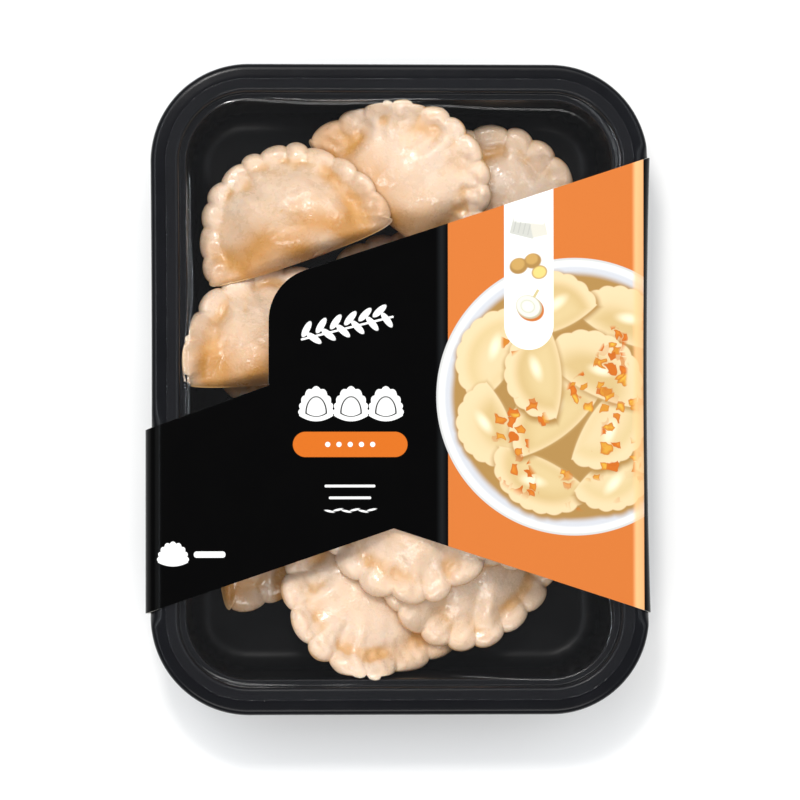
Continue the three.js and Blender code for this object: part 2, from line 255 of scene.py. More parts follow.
# %% [markdown]
# ## Shader helpers
#
# A material is a graph of nodes. `Graph` keeps the building short: `put` sets a socket to a number or
# joins it to a value, and `node` makes a node and fills its inputs in order or by name. What comes
# out is a `Term`, and terms can be added and multiplied like numbers.


# %% Graph
class Term:
    def __init__(self, graph, socket):
        self.graph, self.socket = graph, socket

    def __add__(self, other):
        return self.graph.math("ADD", self, other)

    def __sub__(self, other):
        return self.graph.math("SUBTRACT", self, other)

    def __rsub__(self, other):
        return self.graph.math("SUBTRACT", other, self)

    def __mul__(self, other):
        return self.graph.math("MULTIPLY", self, other)

    def __truediv__(self, other):
        return self.graph.math("DIVIDE", self, other)

    def __rtruediv__(self, other):
        return self.graph.math("DIVIDE", other, self)

    def beside(self, output):
        """Another output of the same node."""
        return Term(self.graph, self.socket.node.outputs[output])


class Graph:
    def __init__(self, tree):
        self.tree = tree

    def put(self, socket, value):
        if isinstance(value, Term):
            self.tree.links.new(value.socket, socket)
        elif isinstance(value, tuple) and len(value) == 3 and socket.type == "RGBA":
            socket.default_value = (*value, 1)
        elif value is not None:
            socket.default_value = value

    def fill(self, sockets, **named):
        for key, value in named.items():
            self.put(sockets[key.replace("_", " ")], value)

    def node(self, kind, *values, output=0, settings=None, **named):
        made = self.tree.nodes.new(kind)
        for key, value in (settings or {}).items():
            setattr(made, key, value)
        for socket, value in zip(made.inputs, values):
            self.put(socket, value)
        self.fill(made.inputs, **named)
        return Term(self, made.outputs[output])

    def math(self, operation, *values):
        return self.node("ShaderNodeMath", *values, settings={"operation": operation})

    def mix(self, mask, under, over):
        """One colour over another; the node's colour sockets come after five of other kinds."""
        settings = {"data_type": "RGBA"}
        return self.node("ShaderNodeMix", mask, *[None] * 5, under, over, output=2, settings=settings)

    def stretch(self, value, low, high, to_low=0.0, to_high=1.0, smooth=False):
        settings = {"interpolation_type": "SMOOTHSTEP" if smooth else "LINEAR"}
        return self.node("ShaderNodeMapRange", value, low, high, to_low, to_high, settings=settings)

    def noise(self, scale, detail, roughness):
        return self.node("ShaderNodeTexNoise", self.place(), Scale=scale, Detail=detail,
                         Roughness=roughness)

    def place(self):
        """The point on the object, in metres."""
        return self.node("ShaderNodeTexCoord", output=3)

    def place_in_mm(self):
        split = self.node("ShaderNodeSeparateXYZ", self.place())
        return [split.beside(axis) * (1 / MM) for axis in "XYZ"]

    def use(self, group, **named):
        return self.node("ShaderNodeGroup", settings={"node_tree": group}, **named)


def node_group(name, inputs, output):
    """An empty group with the inputs {name: default}: its graph, its inputs and its output."""
    tree = bpy.data.node_groups.new(name, "ShaderNodeTree")
    for label, default in inputs.items():
        socket = tree.interface.new_socket(label, in_out="INPUT", socket_type="NodeSocketFloat")
        socket.default_value = default
    tree.interface.new_socket(output, in_out="OUTPUT", socket_type="NodeSocketFloat")
    graph = Graph(tree)
    given = {socket.name: Term(graph, socket) for socket in tree.nodes.new("NodeGroupInput").outputs}
    return graph, given, tree.nodes.new("NodeGroupOutput").inputs[0]


def material(name):
    """A new material: its graph and its Principled shader's inputs."""
    made = bpy.data.materials.new(name)
    made.use_nodes = True
    return made, Graph(made.node_tree), made.node_tree.nodes["Principled BSDF"].inputs


# %% [markdown]
# ### Effects that several finishes share
#
# `mottle` is slow variation of tone, as in dough, board or a moulded sheet. `grain` is a fine relief
# for the Height of a bump: pores in dough, fibres in board, the sheet's slight orange peel. Both take
# their scale from the material that uses them, so one effect serves many finishes.

# %% Mottle and grain
graph, given, mask = node_group("mottle", {"Patch": 0.01, "Contrast": 0.5}, "Mask")
rate = 1.0 / given["Patch"]
tone = graph.noise(rate, 3.0, 0.55) * 0.7 + graph.noise(rate * 3.7, 2.0, 0.5) * 0.3
graph.put(mask, graph.node("ShaderNodeClamp", (tone - 0.5) * given["Contrast"] + 0.5))
MOTTLE = graph.tree

graph, given, height = node_group("grain", {"Pitch": 0.0005, "Lumps": 0.3}, "Height")
rate = 1.0 / given["Pitch"]
lumps = graph.noise(rate * 0.13, 2.0, 0.5) * given["Lumps"]
graph.put(height, lumps + graph.noise(rate, 4.0, 0.6) * (1.0 - given["Lumps"]))
GRAIN = graph.tree


def relief(graph, pitch, lumps, strength, distance):
    """A bump from the grain."""
    height = graph.use(GRAIN, Pitch=pitch, Lumps=lumps)
    return graph.node("ShaderNodeBump", Strength=strength, Distance=distance, Height=height)


print("groups:", MOTTLE.name, GRAIN.name)

# %% [markdown]
# ## Table finish
#
# A matt white board, brushed by the faintest mottle, so that only the shadow draws on it.

# %% Table finish
table_white, graph, shader = material("table_white")
tone = graph.use(MOTTLE, Patch=0.3, Contrast=0.3)
graph.fill(shader, Base_Color=graph.mix(tone, (0.83, 0.83, 0.83), (0.85, 0.85, 0.85)), Roughness=0.9,
           Specular_IOR_Level=0.1)
table.materials.append(table_white)
print("table:", table_white.name)

# %% [markdown]
# ## Tray
#
# The tray is one sheet of black plastic drawn over a mould: a rim that rolls down outside, a flat
# flange for the film, a small stacking ledge, and walls that run down to the floor. A lathe can't
# make it, because it isn't round, so the sheet's section is swept round a rounded rectangle: each
# point of the section becomes one ring. The corners of the wall carry shallow flutes, which stiffen
# a real tray and catch the light as faint rays.

# %% Tray outline and section
CORNER_STEPS = 56
SIDE_STEPS = 26
FLUTES = 5  # in each corner


def tray_ring(inset, z, flute=0.0, corner_steps=CORNER_STEPS, side_steps=SIDE_STEPS):
    """Points round the tray at a distance inside its outer edge."""
    radius = max(CORNER_RADIUS - inset, FLOOR_RADIUS)
    across = TRAY_WIDTH / 2 - inset - radius
    along = TRAY_LENGTH / 2 - inset - radius
    ring = []
    for corner in range(4):
        side_x = 1 if corner in (0, 3) else -1
        side_y = 1 if corner < 2 else -1
        part = np.linspace(0, 1, corner_steps + 1)
        angle = (math.pi / 2) * (corner + part)
        ends = np.sin(math.pi * part) ** 0.5
        wave = radius - flute * ends * (0.5 - 0.5 * np.cos(2 * math.pi * FLUTES * part))
        ring.append(np.stack([side_x * across + wave * np.cos(angle),
                              side_y * along + wave * np.sin(angle)], axis=1))
        start = ring[-1][-1]
        step = np.array([0, -2 * side_y * along]) if corner % 2 else np.array([-2 * side_x * across, 0])
        parts = np.arange(1, side_steps + 1)[:, None] / (side_steps + 1)
        ring.append(start + parts * step)
    ring = np.concatenate(ring)
    waist = np.where(ring[:, 0] < 0, LEFT_WAIST, -RIGHT_WAIST)
    x = TRAY_CENTRE_X + ring[:, 0] + waist * np.clip(1 - (ring[:, 1] / along) ** 2, 0, None)
    return np.stack([x, ring[:, 1], np.full(len(ring), z)], axis=1)


def rounding(inset, z, radius, step):
    """A quarter round of the sheet, from upright to level at a height."""
    return [(inset + radius * (1 - math.cos(t)), z - radius * (1 - math.sin(t)), 0)
            for t in np.radians(range(0, 91, step))]


def edge_over(inset, z, radius, step):
    """A rounded edge from level to upright at an inset."""
    return [(inset - radius + radius * math.sin(t), z - radius + radius * math.cos(t), 0)
            for t in np.radians(range(0, 91, step))]


def fillet(inset, z, radius, step, flute=0):
    """A hollow round from upright at an inset to level; flutes fade out along it."""
    return [(inset + radius * (1 - math.cos(t)), z + radius * (1 - math.sin(t)), flute * math.cos(t) ** 3)
            for t in np.radians(range(0, 91, step))]


def tray_section():
    """The sheet's upper face from the lip inwards: (inset, height, depth of the flutes)."""
    drop = LEDGE_TOP - LEDGE_EDGE - FLOOR_TOP - FLOOR_RADIUS
    wall = [(WALL_TOP + part * (WALL_FOOT - WALL_TOP), LEDGE_TOP - LEDGE_EDGE - part * drop,
             min(1.0, 4 * part)) for part in np.linspace(0.06, 0.95, 9)]
    return np.array([
        *rounding(0, FLANGE_TOP, RIM_ROLL, 9),
        *[(share * FLANGE, FLANGE_TOP, 0) for share in (0.55, 0.7, 0.8)],
        *edge_over(FLANGE, FLANGE_TOP, INNER_EDGE, 18),
        *fillet(FLANGE + 0.1 * LEDGE_EDGE, LEDGE_TOP, LEDGE_EDGE, 30),
        *edge_over(WALL_TOP, LEDGE_TOP, LEDGE_EDGE, 30),
        *wall,
        *fillet(WALL_FOOT, FLOOR_TOP, FLOOR_RADIUS, 10, flute=1)])


def tight_lip(section):
    """The same section with a tighter lip: straight up, a small rounding, then a slope to the flange."""
    lip = [*rounding(0, FLANGE_TOP, LIP_ROUND, 15),
           *[(share * LIP_SLOPE, FLANGE_TOP, 0) for share in (0.55, 0.85, 1)]]
    tight = section.copy()
    tight[1:len(lip) + 1] = lip
    tight[1:len(lip) + 1, 1] -= LIP_FALL * (1 - tight[1:len(lip) + 1, 0] / LIP_SLOPE)
    return tight


def offset_section(section, distance):
    """The section moved sideways, towards the outside and the underside of the sheet."""
    before = section[np.maximum(np.arange(len(section)) - 1, 0), :2]
    after = section[np.minimum(np.arange(len(section)) + 1, len(section) - 1), :2]
    run = after - before
    run /= np.linalg.norm(run, axis=1)[:, None]
    moved = section.copy()
    moved[:, 0] += distance * run[:, 1]
    moved[:, 1] -= distance * run[:, 0]
    return moved


def beside_carton(ring):
    """1 where the rim is free, 0 where the carton folds over it."""
    upper_end = np.where(ring[:, 0] < 0, CUT_LEFT_TOP, CUT_RIGHT_TOP)
    past = np.maximum(ring[:, 1] - upper_end, CUT_FOOT - ring[:, 1])
    return smoothstep(0.5, 5, past)[:, None]


upper = tray_section()
tight = tight_lip(upper)
tray_rings = []
for round_row, tight_row in zip(
        [*upper[::-1], *offset_section(upper, TRAY_SHEET)],
        [*tight[::-1], *offset_section(tight, TRAY_SHEET)]):
    ring, tight_ring = tray_ring(*round_row), tray_ring(*tight_row)
    tray_rings.append(ring + (tight_ring - ring) * beside_carton(ring))
print("tray section:", len(upper), "points")

# %% [markdown]
# ### Black plastic
#
# Drawn sheet is smooth but not perfect: it has a satin skin with a slow orange peel, and the stretch
# over the mould leaves the gloss a little uneven. Colour hardly varies, so the life is in roughness.
# The wall and floor were drawn furthest, so they are duller than the rim and flange. The rim and flange
# are also given a lighter base colour, which is painted sheen.


# %% Black plastic
def black_plastic(name, dark, light, roughness, gloss):
    made, graph, shader = material(name)
    tone = graph.use(MOTTLE, Patch=0.025, Contrast=1.4)
    graph.fill(shader, Base_Color=graph.mix(tone, dark, light),
               Roughness=graph.stretch(tone, 0, 1, roughness, roughness + 0.08),
               Specular_IOR_Level=gloss, Normal=relief(graph, 0.0009, 0.7, 0.12, 0.0004))
    return made


# Painted sheen: the rim's base colour is lighter than the wall's, standing in for the sheen on the flange.
rim_plastic = black_plastic("rim_plastic", (0.003, 0.0032, 0.0042), (0.0055, 0.0058, 0.0075), 0.16, 0.135)
drawn_plastic = black_plastic("drawn_plastic", (0.001, 0.001, 0.0012), (0.0025, 0.0025, 0.003), 0.3, 0.09)

points, faces = skin(tray_rings)
drawn_row = [ring[0, 2] < LEDGE_TOP - LEDGE_EDGE for ring in tray_rings]
in_a_band = len(tray_rings[0])
drawn_face = [int(drawn_row[min(i // in_a_band + 1, len(drawn_row) - 1)]) for i in range(len(faces))]
piece("tray_shell", points, faces, [rim_plastic, drawn_plastic], "tray", "tray", drawn_face)

# %% [markdown]
# ## Dough
#
# A pierog is a disc of dough folded over its filling: a smooth rounded fold on one side, a pinched
# rim of soft lobes on the other, and a full belly between them. It could be sculpted by hand, but
# a fresh shape for each of eleven is easier as a formula: spokes run out from inside the belly, and
# the height of the dough is a function of the place. Uneven lobes, creases, dents and lumps come
# from one seeded generator a dumpling.

# %% Dough sizes
BOW = 4.0  # bulge of the folded side
USUAL_LOBES = 10  # with more of them, each is smaller and flatter
SCALLOP = 2.0  # how far a lobe stands out
CRIMP_HALF = 2.6  # half the thickness of the pinched rim
CRIMP_WIDTH = 8.2
CORNER_WIDTH = 4.5  # the rim is this much wider at its two ends
LOBE_RISE = 0.95
BELLY_UP = 11.0
BELLY_DOWN = 8.0
FOLD_ROUND = 13.0  # how far the rounding of the fold reaches in
CLIMB = 14.0
SQUEEZE = 2.4  # dough this close to the tray's wall is pressed together
DRAPE_PASSES = 30  # how far a lift spreads over a dumpling
SOFTEN_PASSES = 4
NEARBY_PASSES = 60  # how far round a place its neighbours' height counts
# Painted shade: how much darker and more golden the dough is made where a neighbour lies higher.
CONTACT_SHADE = 0.8  # golden where a neighbour lies higher

CRIMP_SPOKES = 330
FOLD_SPOKES = 120
RIM_RINGS = 24
BELLY_RINGS = 26
UNDER_RINGS = 14

# %% Heap
# Middle of the folded side, direction that the crimp faces, half length, depth, lobes, lean, tilts.
HEAP = {
    "dumpling_01": ((-60.5, -45, 4.5), 2, 34, 39, 10, 0, -2, 0),
    "dumpling_02": ((-33.5, 21, 4.5), 272, 32, 38, 10, 0, -2, 0),
    "dumpling_03": ((-0.5, 22, 5.4), 40, 33, 38, 10, 0, -5, 0),
    "dumpling_04": ((33, 56, 5.2), 62, 35, 40, 10, -0.03, 8, 0),
    "dumpling_05": ((-3, -65.2, 12), 230, 35, 44, 9, 0.03, 26, 3),
    "dumpling_06": ((26, -52, 11.5), 280, 35.5, 40, 10, 0.12, 7, 11),
    "dumpling_07": ((38.5, -26, 13.2), 283, 34, 39, 10, 0, 15, 6),
    "dumpling_08": ((-5, 68, 15), 50, 34.5, 42, 11, 0.09, 23, 4),
    "dumpling_09": ((-42, 6, 22.4), 96, 36, 40, 9, 0.01, -13, -6),
    "dumpling_10": ((4.5, -35, 26.4), 267, 35.5, 40, 9, -0.02, 2, -6),
    "dumpling_11": ((-34.5, 50, 20.4), 108, 35, 40, 12, -0.06, -12, 7),
}
print(len(HEAP), "dumplings")

# %% [markdown]
# ### Lobes along the crimp
#
# The cook pinches the edge about ten times. Each pinch leaves a lobe of its own length and fullness,
# a short crease to the next one, and some twist. The places where lobes meet are drawn from the
# generator, and any point along the crimp can then be asked which lobe it is in.


# %% Lobes
def drift(u, rng, terms=5):
    """A slow seeded curve along the crimp, about -1 to 1."""
    rates = np.arange(1, terms + 1) * rng.uniform(0.8, 1.3, terms)
    phases = rng.uniform(0, 2 * math.pi, terms)
    return sum(np.sin(2 * math.pi * r * u + p) for r, p in zip(rates, phases)) / math.sqrt(2 * terms)


def pinch_lobes(count, rng):
    """Where lobes meet along the crimp, from 0 to 1, and what each lobe is like."""
    cuts = np.linspace(0, 1, count + 1)
    cuts[1:-1] += rng.uniform(-0.11, 0.11, count - 1) / count
    return {
        "cuts": cuts,
        "proud": (USUAL_LOBES / count) ** 1.5,
        "size": rng.uniform(0.8, 1.2, count),
        "length": rng.uniform(5.0, 7.5, count),
        "twist": rng.uniform(-0.7, 1.2, count),
        "crease": rng.uniform(2.0, 6.0, count + 1),
        "depth": rng.uniform(0.1, 0.55, count + 1),
    }


def lobe_at(lobes, u):
    """Which lobe a place is in, and how far through it."""
    cuts = lobes["cuts"]
    which = np.clip(np.searchsorted(cuts, u, side="right") - 1, 0, len(cuts) - 2)
    return which, np.clip((u - cuts[which]) / (cuts[which + 1] - cuts[which]), 0, 1)


def crease_at(lobes, u, inward, arc):
    """How deep in a crease between two lobes a place is, 0 to 1."""
    inner = lobes["cuts"][1:-1]
    nearest = np.abs(u[..., None] - inner).argmin(axis=-1)
    away = np.abs(u - inner[nearest]) * arc
    reach, deep = lobes["crease"][nearest + 1], lobes["depth"][nearest + 1]
    return deep * np.exp(-((away / (0.6 + 0.14 * inward)) ** 2)) * (1 - smoothstep(0.2, 1.0, inward / reach))


# %% Slow lumps and folds
def waves(x, y, rng, length, count=7):
    """Slow seeded lumps, about -1 to 1."""
    total = np.zeros_like(x)
    for _ in range(count):
        angle, phase = rng.uniform(0, 2 * math.pi, 2)
        rate = 2 * math.pi / (length * rng.uniform(0.7, 1.5))
        total += np.cos(rate * (x * math.cos(angle) + y * math.sin(angle)) + phase)
    return total / math.sqrt(count)


def tucks(x, y, half, depth, count, rng):
    """Hollows with a raised fold beside them, just behind the rim."""
    total = np.zeros_like(x)
    for _ in range(count):
        angle = math.pi * rng.uniform(0.06, 0.94)
        inner = 1 - rng.uniform(9.5, 14.5) / depth
        place_x, place_y = half * inner * math.cos(angle), depth * inner * math.sin(angle)
        turn = angle + rng.uniform(-0.7, 0.7)
        along = (x - place_x) * math.cos(turn) + (y - place_y) * math.sin(turn)
        aside = (y - place_y) * math.cos(turn) - (x - place_x) * math.sin(turn)
        long, wide = rng.uniform(4.0, 7.0), rng.uniform(2.0, 3.4)
        fold_side = rng.choice([-1, 1])
        hollow = np.exp(-((along / long) ** 2) - (aside / wide) ** 2)
        beside = (aside - 2.1 * fold_side * wide) / (0.9 * wide)
        ridge = np.exp(-((along / (1.2 * long)) ** 2) - beside ** 2)
        total += rng.uniform(0.7, 1.6) * (hollow - 0.5 * ridge)
    return total


# %% [markdown]
# ### Outline and height
#
# The flat dumpling lies with its fold along X. `spokes` gives the outline, and `dough_height` the
# height of any place inside it. The height is a sum of what a cook would name: the pressed rim, the
# lobes on it, the groove behind it, the belly, and what the boiling added.


# %% Outline
def spokes(half, depth, lean, lobes, rng):
    """Directions and lengths of the spokes to the smooth outline, and how far each lobe stands out."""
    theta = np.concatenate([np.linspace(0, math.pi, CRIMP_SPOKES, endpoint=False),
                            np.linspace(math.pi, 2 * math.pi, FOLD_SPOKES, endpoint=False)])
    front = np.arange(len(theta)) < CRIMP_SPOKES
    cos, sin = np.cos(theta), np.sin(theta)
    x = np.where(front, half * cos, half * np.sign(cos) * np.abs(cos) ** 0.75)
    y = np.where(front, depth * sin, -BOW * np.abs(sin) ** 0.75)
    middle = 0.36 * depth
    ray = np.stack([x + lean * np.clip(y, 0, None), y - middle], axis=1)
    length = np.linalg.norm(ray, axis=1)
    ray /= length[:, None]
    u = np.clip(theta / math.pi, 0, 1)
    which, part = lobe_at(lobes, u)
    size = lobes["size"][which]
    proud = SCALLOP * lobes["proud"] * (0.45 + 0.55 * size) * np.sin(math.pi * part) ** 0.65 - 0.8
    proud += 0.9 * drift(u, rng) * np.sin(math.pi * u)
    return {"ray": ray, "length": length, "middle": middle, "proud": np.where(front, proud, 0)}


# %% Dough height
def round_over(distance, reach):
    """A quarter round from 0 at an edge to 1 at its reach."""
    return np.sqrt(np.clip(1 - (1 - np.clip(distance / reach, 0, 1)) ** 2, 0, 1))


def soft_start(share, ease=0.3):
    """The share from 0 to 1, but leaving 0 without a kink."""
    return (np.sqrt(share ** 2 + ease ** 2) - ease) / (math.sqrt(1 + ease ** 2) - ease)


def dough_height(x, y, inward, half, depth, lean, lobes, rng):
    """Half thickness above the middle plane, distance from the fold, and the groove behind the rim."""
    x = x - lean * np.clip(y, 0, None)
    ahead = np.clip(y, 0, None)
    angle = np.arctan2(ahead / depth, x / half)
    u = angle / math.pi
    reach = np.hypot(x / half, ahead / depth)
    radius = np.hypot(half * np.cos(angle), depth * np.sin(angle))
    inside = (1 - reach) * radius  # from the smooth outline
    width = CRIMP_WIDTH + 1.1 * drift(u, rng) + CORNER_WIDTH * np.abs(np.cos(angle)) ** 6
    from_fold = y + BOW * np.clip(1 - np.abs(x / half) ** 2, 0, None) ** 0.4

    which, part = lobe_at(lobes, u)
    knob = np.sin(math.pi * part) ** 0.95 * np.exp(-(((inside - 3.0) / lobes["length"][which]) ** 2))
    knob = knob * lobes["size"][which] * (1 + 1.1 * lobes["twist"][which] * (part - 0.5))
    crease = crease_at(lobes, u, np.clip(inward, 0, None), 2.7 * half)
    groove = np.clip(0.2 + 1.1 * drift(u, rng), 0, 1.2) * np.exp(-(((inside - width) / 2.8) ** 2))
    rim = CRIMP_HALF + LOBE_RISE * lobes["proud"] * (knob - 0.25) - 1.1 * crease
    rim = np.maximum(rim, 0.7) * round_over(inward, 3.4) * round_over(from_fold, 3.0)

    inner = np.hypot(x / (half - 0.62 * width), ahead / (depth - 0.62 * width))
    swell = soft_start(np.clip(1 - inner ** 2.2, 0, None)) ** 0.9
    belly = (BELLY_UP - 1.2) * swell * round_over(from_fold, FOLD_ROUND)
    full = smoothstep(0, 0.5, swell)
    lumps = 0.55 * waves(x, y, rng, 24) + 0.13 * waves(x, y, rng, 11) + 0.05 * waves(x, y, rng, 4.5)
    ruffled = 0.22 * waves(x, y, rng, 5.5) * (1 - full) * round_over(inward, 5)
    tucked = tucks(x, y, half, depth, 3, rng) * smoothstep(1.5, 6, inward)
    height = rim + belly - 1.1 * groove * round_over(inward, 4) + lumps * full * round_over(from_fold, 8)
    height += ruffled * round_over(from_fold, 8)
    height -= tucked * round_over(from_fold, 8)
    return np.maximum(height, 0.02), from_fold, groove


# %% Smoothing on a grid of spokes
def neighbours_mean(values):
    inner = np.concatenate([values[:1], values[:-1]])
    outer = np.concatenate([values[1:], values[-1:]])
    return (np.roll(values, 1, axis=1) + np.roll(values, -1, axis=1) + inner + outer) / 4


def hollows(height, passes=50, full_depth=0.8):
    """How far each place lies below the dough round it, 0 to 1."""
    around = height.copy()
    for _ in range(passes):
        around = neighbours_mean(around)
    return np.clip((around - height) / full_depth, 0, 1)


def round_middle(values, radius, blur=5.0):
    """Blurs along each ring by a few millimetres, so that nothing fans out from the middle."""
    waves_round = np.fft.rfft(values, axis=1)
    count = np.arange(waves_round.shape[1])[None, :]
    waves_round *= np.exp(-0.5 * (count * blur / radius[:, None]) ** 2)
    return np.fft.irfft(waves_round, n=values.shape[1], axis=1)


# %% One dumpling lying flat
def flat_dumpling(half, depth, count, lean, rng):
    """Grids of the top and underside of a dumpling lying flat, with their masks of painted shade and their
    softness.
    """
    lobes = pinch_lobes(count, rng)
    spoke = spokes(half, depth, lean, lobes, rng)
    length, proud = spoke["length"][None, :], spoke["proud"][None, :]
    rim_depth = 1.3 * CRIMP_WIDTH

    def grid(rim_parts, belly_parts):
        inward = np.concatenate([np.tile(rim_parts[:, None] * rim_depth, (1, length.shape[1])),
                                 rim_depth + belly_parts[:, None] * (length - rim_depth)])
        distance = length - inward + proud * (1 - smoothstep(0, rim_depth, inward))
        return (inward, spoke["ray"][None, :, 0] * distance,
                spoke["middle"] + spoke["ray"][None, :, 1] * distance)

    inward, x, y = grid(np.linspace(0, 1, RIM_RINGS) ** 1.5, np.linspace(0, 1, BELLY_RINGS + 1)[1:-1])
    height, from_fold, groove = dough_height(x, y, inward, half, depth, lean, lobes, rng)
    top = np.stack([x, y, height], axis=2)
    # Painted shade: the top side is made darker and more golden in its hollows, along the fold side, which
    # turns away from the light, and in the groove behind the rim.
    drawn_in = hollows(height) * np.clip(0.65 + 0.5 * waves(x, y, rng, 14), 0.15, 1)
    golden = (1 - smoothstep(3, 27, from_fold)) * (0.9 + 0.3 * waves(x, y, rng, 18))
    golden = golden * (1 - 0.6 * smoothstep(0.72, 1.0, np.abs(x) / half)) + 0.45 * groove

    inward, x, y = grid(np.linspace(0, 1, UNDER_RINGS // 2) ** 1.5,
                        np.linspace(0, 1, UNDER_RINGS // 2 + 1)[1:-1])
    deep, from_fold, _ = dough_height(x, y, inward, half, depth, lean, lobes, rng)
    below = np.stack([x, y, -deep * BELLY_DOWN / BELLY_UP], axis=2)
    softness = (1 - smoothstep(0.8, 2.2, inward / CRIMP_WIDTH)) * (0.35 + 0.65 * smoothstep(0, 10, from_fold))
    return top, below, drawn_in, golden, softness


# %% [markdown]
# ### Laying the heap
#
# Cooked dough is soft, so a dumpling sags over what is below it. A physics simulation could do this,
# but the heap has to lie as placed and come out the same each time. Instead, a map of heights on a
# half millimetre grid records the top of the heap. Each dumpling is turned, tilted and put down, and
# wherever its underside would be inside the heap it is lifted to the map. That lift is smoothed over
# the dumpling, so the rim drapes, and what is left of it passes through to the top side. Points past
# the tray's wall are pushed back inside it.


# %% Height map
CELL = 0.5
MAP_LOW = np.array([-95.0, -120.0])
MAP_SHAPE = (380, 480)
heap_top = np.full(MAP_SHAPE, FLOOR_TOP)


def cells(x, y):
    i = np.clip(((x - MAP_LOW[0]) / CELL).astype(int), 0, MAP_SHAPE[0] - 1)
    j = np.clip(((y - MAP_LOW[1]) / CELL).astype(int), 0, MAP_SHAPE[1] - 1)
    return i, j


def record_top(grid, steps=5):
    """Raises the map to a dumpling's top side, filled in between its points."""
    ring = np.concatenate([grid, grid[:, :1]], axis=1)
    for a in np.arange(steps) / steps:
        for b in np.arange(steps) / steps:
            down_mix = ring[:-1] * (1 - a) + ring[1:] * a
            points = down_mix[:, :-1] * (1 - b) + down_mix[:, 1:] * b
            x, y, z = points.reshape(-1, 3).T
            np.maximum.at(heap_top, cells(x, y), z)


def inset_at(x, y):
    """How far inside the tray's outer edge a place lies, and the direction straight inwards."""
    dx, dy = x - TRAY_CENTRE_X, y
    qx = np.abs(dx) - (TRAY_WIDTH / 2 - CORNER_RADIUS)
    qy = np.abs(dy) - (TRAY_LENGTH / 2 - CORNER_RADIUS)
    px, py = np.clip(qx, 0, None), np.clip(qy, 0, None)
    outside = np.hypot(px, py) + np.minimum(np.maximum(qx, qy), 0)
    size = np.maximum(np.hypot(px, py), 1e-6)
    return CORNER_RADIUS - outside, -np.sign(dx) * px / size, -np.sign(dy) * py / size


def wall_inset(z):
    """Where the tray's inner face is at a height."""
    heights = [FLOOR_TOP, FLOOR_TOP + 2.4, FLOOR_TOP + FLOOR_RADIUS, LEDGE_TOP, LEDGE_TOP + 0.2, FLANGE_TOP]
    insets = [WALL_FOOT + FLOOR_RADIUS, WALL_FOOT + 2.3, WALL_FOOT, WALL_TOP, FLANGE + 0.4, FLANGE]
    return np.interp(z, heights, insets) + GAP


# %% Laying down
def placed(grid, spot, faces, crimp_up, end_up):
    """The grid turned, tilted and moved to its spot."""
    a, b, c = math.radians(crimp_up), math.radians(-end_up), math.radians(faces - 90)
    x, y, z = grid[..., 0], grid[..., 1], grid[..., 2]
    x, z = x * math.cos(b) + z * math.sin(b), -x * math.sin(b) + z * math.cos(b)
    y, z = y * math.cos(a) - z * math.sin(a), y * math.sin(a) + z * math.cos(a)
    x, y = x * math.cos(c) - y * math.sin(c), x * math.sin(c) + y * math.cos(c)
    return np.stack([x + spot[0], y + spot[1], z + spot[2]], axis=-1)


def lift_needed(below):
    """How far each point of the underside has to rise to lie on the heap or on the ledge."""
    i, j = cells(below[..., 0], below[..., 1])
    rest = heap_top[i, j]
    inset, _, _ = inset_at(below[..., 0], below[..., 1])
    by_wall = (inset < WALL_TOP) & (below[..., 2] > LEDGE_TOP - CLIMB)
    rest = np.where(by_wall, np.maximum(rest, LEDGE_TOP), rest)
    return np.clip(rest + GAP - below[..., 2], 0, None)


def lay_down(top, below, softness, spot, faces, crimp_up, end_up):
    """Puts a dumpling on the heap and lets its dough give."""
    top, below = (placed(grid, spot, faces, crimp_up, end_up) for grid in (top, below))
    need = lift_needed(below)
    give = need.copy()
    for _ in range(DRAPE_PASSES):
        give = np.maximum(need * 0.97, neighbours_mean(give))
    for _ in range(SOFTEN_PASSES):
        give = neighbours_mean(give)
    below[..., 2] += give
    rows = np.linspace(0, 1, len(top))
    under_rows = np.linspace(0, 1, len(below))
    share = give * (0.35 + 0.65 * softness)
    passed = np.stack([np.interp(rows, under_rows, share[:, k]) for k in range(share.shape[1])], axis=1)
    radius = np.hypot(*np.moveaxis(top[..., :2] - top[-1, :, :2].mean(axis=0), 2, 0)).mean(axis=1)
    passed = round_middle(passed, radius)
    top[..., 2] = np.minimum(top[..., 2] + passed, FLANGE_TOP + 0.1)
    for grid in (top, below):
        inset, inward_x, inward_y = inset_at(grid[..., 0], grid[..., 1])
        room = inset - wall_inset(grid[..., 2])
        push = np.where(room < SQUEEZE, SQUEEZE * np.exp(room / SQUEEZE - 1) - room, 0)
        grid[..., 0] += push * inward_x
        grid[..., 1] += push * inward_y
    return top, below
